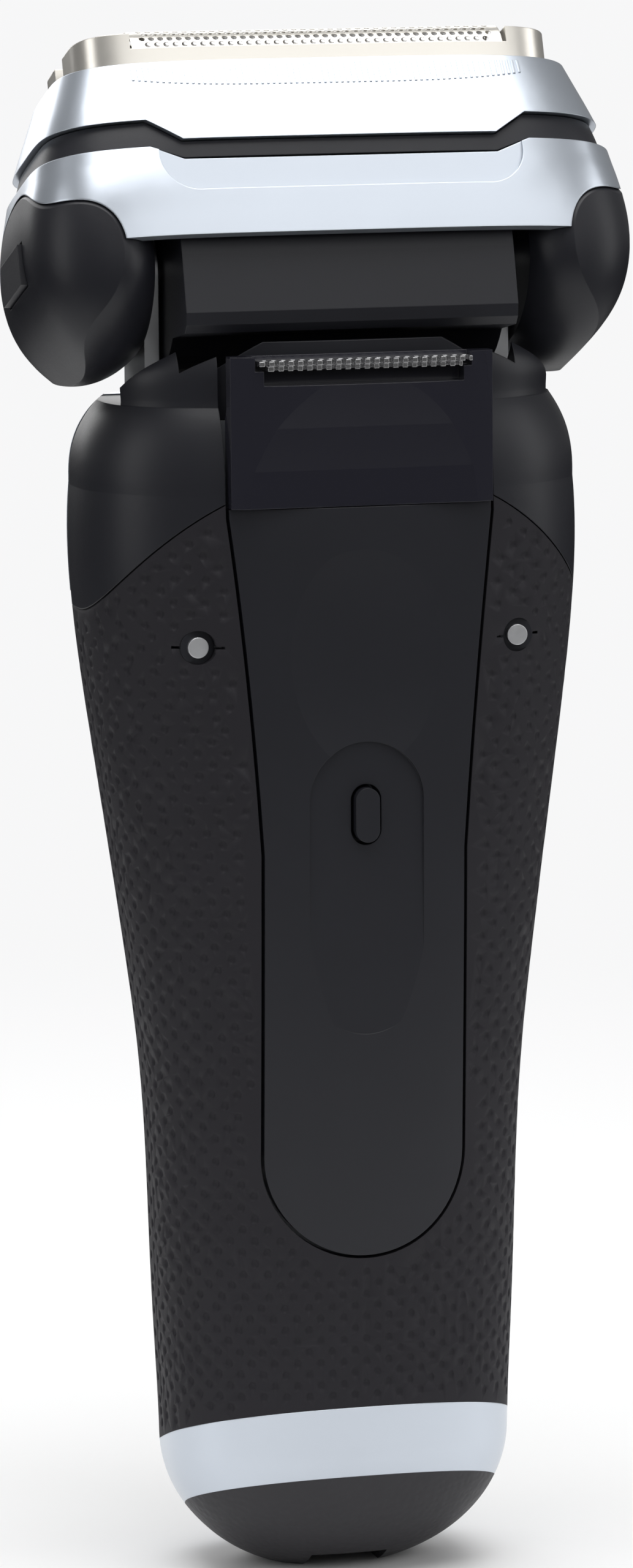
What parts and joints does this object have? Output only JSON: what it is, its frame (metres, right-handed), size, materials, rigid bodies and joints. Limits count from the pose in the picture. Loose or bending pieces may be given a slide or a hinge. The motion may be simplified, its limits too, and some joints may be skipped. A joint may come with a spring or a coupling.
{
  "type": "electric shaver",
  "caption": "Hand-held electric foil shaver with a tilting head, a lift-off foil cassette and a slide-up long-hair trimmer.",
  "frame": {"origin": "centre of the mouth of the power inlet in the base", "axes": "+Z from the base to the head, -Y the front with the power button, +Y the rear with the long-hair trimmer, X across the head"},
  "size_m": [0.0666, 0.0385, 0.1657],
  "materials": {
    "satin_silver": "satin painted silver",
    "bright_silver": "polished",
    "champagne_metal": "smooth satin",
    "blade_steel": "ground",
    "black_satin": "satin",
    "black_gloss": "gloss",
    "grip_rubber": "matte, dimpled",
    "textured_black": "fine texture",
    "window_gloss": "clear gloss",
    "board_green": "solder mask",
    "copper": "enamelled wire",
    "cell_wrap": "shrink wrap",
    "frame_plastic": "moulded",
    "core_steel": "laminated",
    "gasket_rubber": "matte"
  },
  "bodies": {
    "root": {"rear_shell": "frame_plastic", "front_shell": "frame_plastic", "grip_sleeve": "grip_rubber", "rear_shoulder_cover": "black_satin", "front_shoulder_cover": "black_satin", "shoulder_collar": "satin_silver", "base_ring": "satin_silver", "end_cap": "textured_black", "front_panel": "black_gloss", "display_window": "window_gloss", "power_button_ring": "bright_silver", "chassis": "frame_plastic", "main_board": "board_green", "battery_cell": "cell_wrap", "battery_tabs": "blade_steel", "display_module": "frame_plastic", "power_switch": "frame_plastic", "housing_screws": "blade_steel", "contact_seats": "black_satin", "charging_contacts": "bright_silver", "power_inlet": "textured_black", "inlet_pins": "bright_silver", "base_gasket": "gasket_rubber", "neck_yoke": "bright_silver", "pivot_pins": "bright_silver", "neck_seal": "gasket_rubber", "flex_cable": "frame_plastic"},
    "power_button": {"power_button": "black_satin"},
    "head_lock": {"head_lock_slider": "black_satin"},
    "rear_slide": {"rear_panel": "black_satin", "trimmer_cap": "black_gloss", "trimmer_comb": "blade_steel"},
    "slide_release": {"trimmer_release_button": "black_satin"},
    "long_hair_cutter": {"trimmer_cutter": "blade_steel"},
    "head": {"head_housing": "black_satin", "head_band": "satin_silver", "head_deck": "frame_plastic", "drive_seals": "gasket_rubber", "motor_core": "core_steel", "motor_coil": "copper", "release_springs": "blade_steel"},
    "drive_rear": {"drive_bar_rear": "frame_plastic", "drive_magnet_rear": "core_steel"},
    "drive_front": {"drive_bar_front": "frame_plastic", "drive_magnet_front": "core_steel"},
    "release_left": {"release_button_left": "black_satin"},
    "release_right": {"release_button_right": "black_satin"},
    "cassette": {"cassette_base": "black_satin", "cassette_frame": "satin_silver", "foil_springs": "blade_steel"},
    "foil_unit_rear": {"foil_frame_rear": "champagne_metal", "foil_rear": "champagne_metal"},
    "foil_unit_front": {"foil_frame_front": "champagne_metal", "foil_front": "champagne_metal"},
    "cutter_rear": {"cutter_block_rear": "blade_steel"},
    "cutter_front": {"cutter_block_front": "blade_steel"},
    "middle_unit": {"middle_guard": "champagne_metal"},
    "middle_blade": {"middle_cutter": "blade_steel"}
  },
  "joints": [
    {"name": "head_tilt", "type": "hinge", "parent": "root", "child": "head", "pos_m": [0, 0.0007, 0.1403], "axis": [1, 0, 0], "range_deg": [-20, 20], "stiffness_Nm_per_rad": 0.8},
    {"name": "power_press", "type": "slide", "parent": "root", "child": "power_button", "axis": [0, 1, 0], "range_m": [0, 0.0007], "stiffness_N_per_m": 600, "springref_m": -0.0006},
    {"name": "lock_slide", "type": "slide", "parent": "root", "child": "head_lock", "axis": [0, 0, 1], "range_m": [0, 0.003]},
    {"name": "trimmer_slide", "type": "slide", "parent": "root", "child": "rear_slide", "axis": [0, 0, 1], "range_m": [0, 0.012]},
    {"name": "release_press", "type": "slide", "parent": "rear_slide", "child": "slide_release", "axis": [0, -1, 0], "range_m": [0, 0.0008], "stiffness_N_per_m": 500, "springref_m": -0.0006},
    {"name": "long_hair_stroke", "type": "slide", "parent": "rear_slide", "child": "long_hair_cutter", "axis": [1, 0, 0], "range_m": [-0.0009, 0.0009]},
    {"name": "drive_rear_stroke", "type": "slide", "parent": "head", "child": "drive_rear", "axis": [1, 0, 0], "range_m": [-0.001, 0.001], "stiffness_N_per_m": 400},
    {"name": "drive_front_stroke", "type": "slide", "parent": "head", "child": "drive_front", "axis": [1, 0, 0], "range_m": [-0.001, 0.001]},
    {"name": "left_release_press", "type": "slide", "parent": "head", "child": "release_left", "axis": [-1, 0, 0], "range_m": [0, 0.0012], "stiffness_N_per_m": 500, "springref_m": -0.0006},
    {"name": "right_release_press", "type": "slide", "parent": "head", "child": "release_right", "axis": [1, 0, 0], "range_m": [0, 0.0012], "stiffness_N_per_m": 500, "springref_m": -0.0006},
    {"name": "cassette_lift", "type": "slide", "parent": "head", "child": "cassette", "axis": [0, -0.342, 0.9397], "range_m": [0, 0.016]},
    {"name": "foil_rear_float", "type": "slide", "parent": "cassette", "child": "foil_unit_rear", "axis": [0, 0.342, -0.9397], "range_m": [0, 0.002], "stiffness_N_per_m": 400, "springref_m": -0.001},
    {"name": "foil_front_float", "type": "slide", "parent": "cassette", "child": "foil_unit_front", "axis": [0, 0.342, -0.9397], "range_m": [0, 0.002], "stiffness_N_per_m": 400, "springref_m": -0.001},
    {"name": "middle_float", "type": "slide", "parent": "cassette", "child": "middle_unit", "axis": [0, 0.342, -0.9397], "range_m": [0, 0.001], "stiffness_N_per_m": 400, "springref_m": -0.001},
    {"name": "cutter_rear_stroke", "type": "slide", "parent": "foil_unit_rear", "child": "cutter_rear", "axis": [1, 0, 0], "range_m": [-0.001, 0.001]},
    {"name": "cutter_front_stroke", "type": "slide", "parent": "foil_unit_front", "child": "cutter_front", "axis": [1, 0, 0], "range_m": [-0.001, 0.001]},
    {"name": "middle_stroke", "type": "slide", "parent": "middle_unit", "child": "middle_blade", "axis": [1, 0, 0], "range_m": [-0.001, 0.001]}
  ],
  "couplings": [
    {"joint": "drive_front_stroke", "follows": "drive_rear_stroke", "ratio": -1},
    {"joint": "cutter_rear_stroke", "follows": "drive_rear_stroke", "ratio": 1},
    {"joint": "cutter_front_stroke", "follows": "drive_rear_stroke", "ratio": -1},
    {"joint": "middle_stroke", "follows": "drive_rear_stroke", "ratio": -1}
  ]
}
